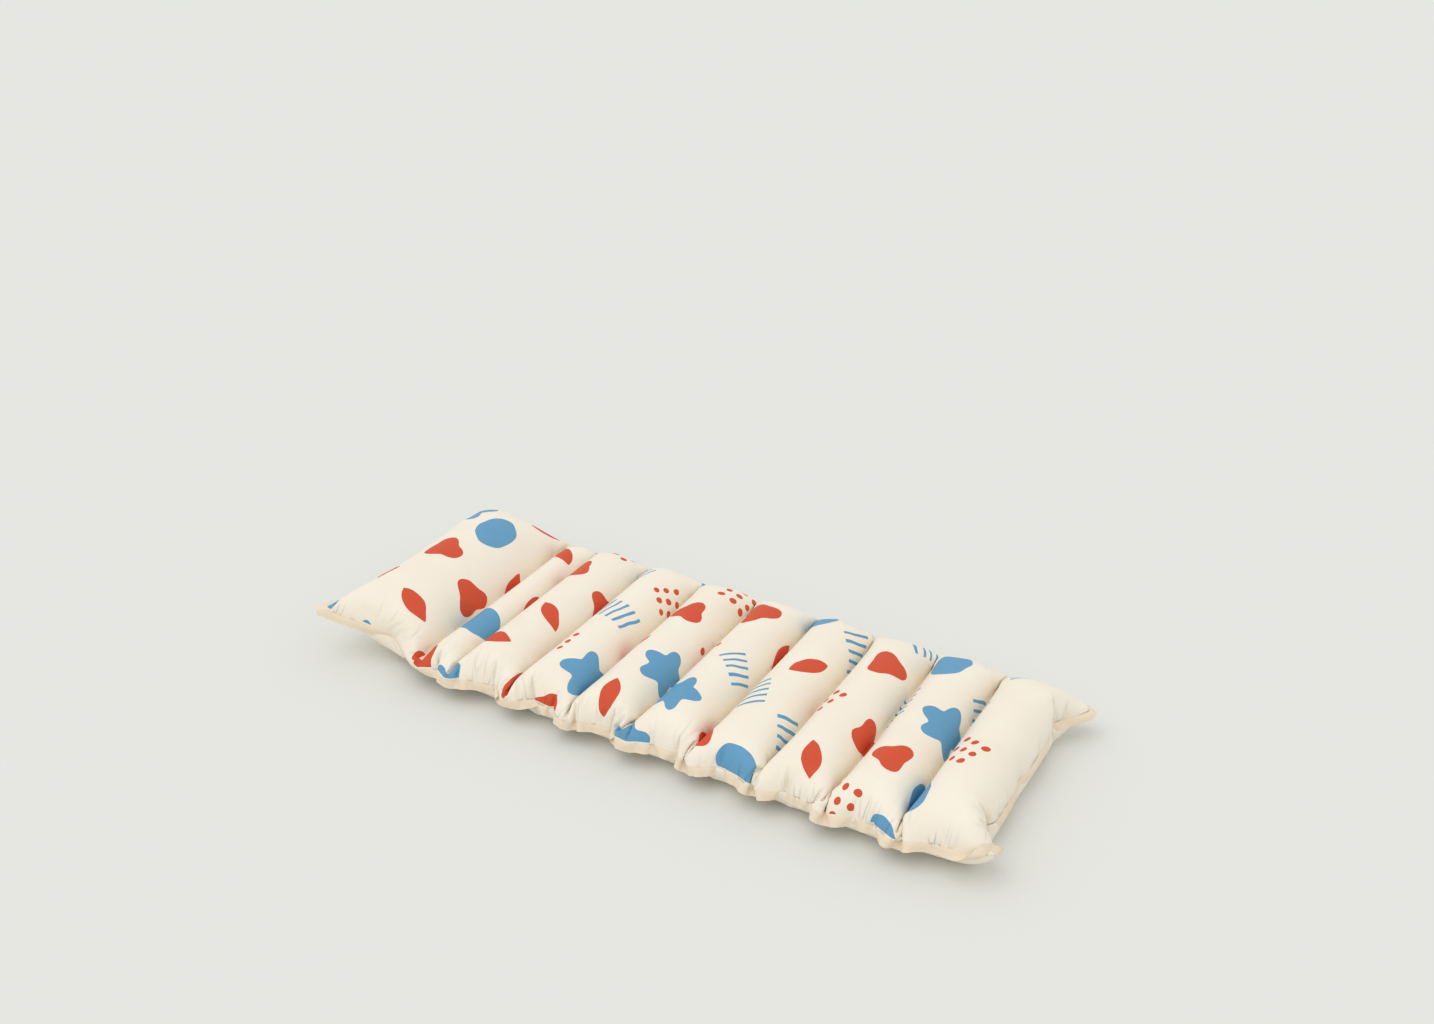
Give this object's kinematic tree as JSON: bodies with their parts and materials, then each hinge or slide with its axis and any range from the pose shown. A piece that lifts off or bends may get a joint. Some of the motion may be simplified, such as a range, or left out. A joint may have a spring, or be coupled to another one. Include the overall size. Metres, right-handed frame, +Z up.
{
  "type": "pool air mattress",
  "caption": "Inflatable pool mattress: a tilted pillow chamber and a row of air tubes across the body, with a flat hem all round and stopper valves underneath.",
  "frame": {"origin": "on the ground, under the middle of the middle tube", "axes": "+X from head to foot, +Y to the left of someone lying on it, +Z up"},
  "size_m": [1.7617, 0.682, 0.1767],
  "materials": {
    "printed_vinyl": "satin",
    "plain_vinyl": "satin",
    "clear_vinyl": "satin",
    "white_vinyl": "satin"
  },
  "bodies": {
    "pillow": {"pillow_top_film": "printed_vinyl", "pillow_bottom_film": "plain_vinyl", "pillow_valve_flange": "clear_vinyl"},
    "tube_1": {"tube_1_top_film": "printed_vinyl", "tube_1_bottom_film": "plain_vinyl", "body_valve_flange": "clear_vinyl"},
    "tube_2": {"tube_2_top_film": "printed_vinyl", "tube_2_bottom_film": "plain_vinyl"},
    "tube_3": {"tube_3_top_film": "printed_vinyl", "tube_3_bottom_film": "plain_vinyl"},
    "tube_4": {"tube_4_top_film": "printed_vinyl", "tube_4_bottom_film": "plain_vinyl"},
    "tube_5": {"tube_5_top_film": "printed_vinyl", "tube_5_bottom_film": "plain_vinyl"},
    "tube_6": {"tube_6_top_film": "printed_vinyl", "tube_6_bottom_film": "plain_vinyl"},
    "tube_7": {"tube_7_top_film": "printed_vinyl", "tube_7_bottom_film": "plain_vinyl"},
    "tube_8": {"tube_8_top_film": "printed_vinyl", "tube_8_bottom_film": "plain_vinyl"},
    "tube_9": {"tube_9_top_film": "printed_vinyl", "tube_9_bottom_film": "plain_vinyl"},
    "body_valve_stem": {"body_valve_stem": "clear_vinyl", "body_valve_tether": "clear_vinyl"},
    "body_valve_plug": {"body_valve_plug": "white_vinyl"},
    "body_valve_flap": {"body_valve_flap": "clear_vinyl"},
    "pillow_valve_stem": {"pillow_valve_stem": "clear_vinyl", "pillow_valve_tether": "clear_vinyl"},
    "pillow_valve_plug": {"pillow_valve_plug": "white_vinyl"},
    "pillow_valve_flap": {"pillow_valve_flap": "clear_vinyl"}
  },
  "joints": [
    {"name": "weld_4_flex", "type": "hinge", "parent": "tube_5", "child": "tube_4", "pos_m": [-0.08, 0, 0.0705], "axis": [0, 1, 0], "range_deg": [-30, 30], "stiffness_Nm_per_rad": 20},
    {"name": "weld_3_flex", "type": "hinge", "parent": "tube_4", "child": "tube_3", "pos_m": [-0.24, 0, 0.0705], "axis": [0, 1, 0], "range_deg": [-30, 30], "stiffness_Nm_per_rad": 20},
    {"name": "weld_2_flex", "type": "hinge", "parent": "tube_3", "child": "tube_2", "pos_m": [-0.4, 0, 0.0705], "axis": [0, 1, 0], "range_deg": [-30, 30], "stiffness_Nm_per_rad": 20},
    {"name": "weld_1_flex", "type": "hinge", "parent": "tube_2", "child": "tube_1", "pos_m": [-0.56, 0, 0.0705], "axis": [0, 1, 0], "range_deg": [-30, 30], "stiffness_Nm_per_rad": 20},
    {"name": "weld_5_flex", "type": "hinge", "parent": "tube_5", "child": "tube_6", "pos_m": [0.08, 0, 0.0705], "axis": [0, -1, 0], "range_deg": [-30, 30], "stiffness_Nm_per_rad": 20},
    {"name": "weld_6_flex", "type": "hinge", "parent": "tube_6", "child": "tube_7", "pos_m": [0.24, 0, 0.0705], "axis": [0, -1, 0], "range_deg": [-30, 30], "stiffness_Nm_per_rad": 20},
    {"name": "weld_7_flex", "type": "hinge", "parent": "tube_7", "child": "tube_8", "pos_m": [0.4, 0, 0.0705], "axis": [0, -1, 0], "range_deg": [-30, 30], "stiffness_Nm_per_rad": 20},
    {"name": "weld_8_flex", "type": "hinge", "parent": "tube_8", "child": "tube_9", "pos_m": [0.56, 0, 0.0705], "axis": [0, -1, 0], "range_deg": [-30, 30], "stiffness_Nm_per_rad": 20},
    {"name": "pillow_fold", "type": "hinge", "parent": "tube_1", "child": "pillow", "pos_m": [-0.657, 0, 0.0705], "axis": [0, 1, 0], "range_deg": [-25, 40], "stiffness_Nm_per_rad": 12, "springref_deg": 1.26},
    {"name": "body_valve_pop_out", "type": "slide", "parent": "tube_1", "child": "body_valve_stem", "axis": [0, 0, -1], "range_m": [0, 0.012]},
    {"name": "body_valve_plug_pull", "type": "slide", "parent": "body_valve_stem", "child": "body_valve_plug", "axis": [0, 0, -1], "range_m": [0, 0.0085]},
    {"name": "body_valve_flap_swing", "type": "hinge", "parent": "body_valve_stem", "child": "body_valve_flap", "pos_m": [-0.61245, 0.13, 0.0439], "axis": [0, -1, 0], "range_deg": [0, 60], "stiffness_Nm_per_rad": 0.0005},
    {"name": "pillow_valve_pop_out", "type": "slide", "parent": "pillow", "child": "pillow_valve_stem", "axis": [-0.225, 0, -0.9744], "range_m": [0, 0.012]},
    {"name": "pillow_valve_plug_pull", "type": "slide", "parent": "pillow_valve_stem", "child": "pillow_valve_plug", "axis": [-0.225, 0, -0.9744], "range_m": [0, 0.0085]},
    {"name": "pillow_valve_flap_swing", "type": "hinge", "parent": "pillow_valve_stem", "child": "pillow_valve_flap", "pos_m": [-0.81028, 0.13, 0.04369], "axis": [0, -1, 0], "range_deg": [0, 60], "stiffness_Nm_per_rad": 0.0005}
  ]
}
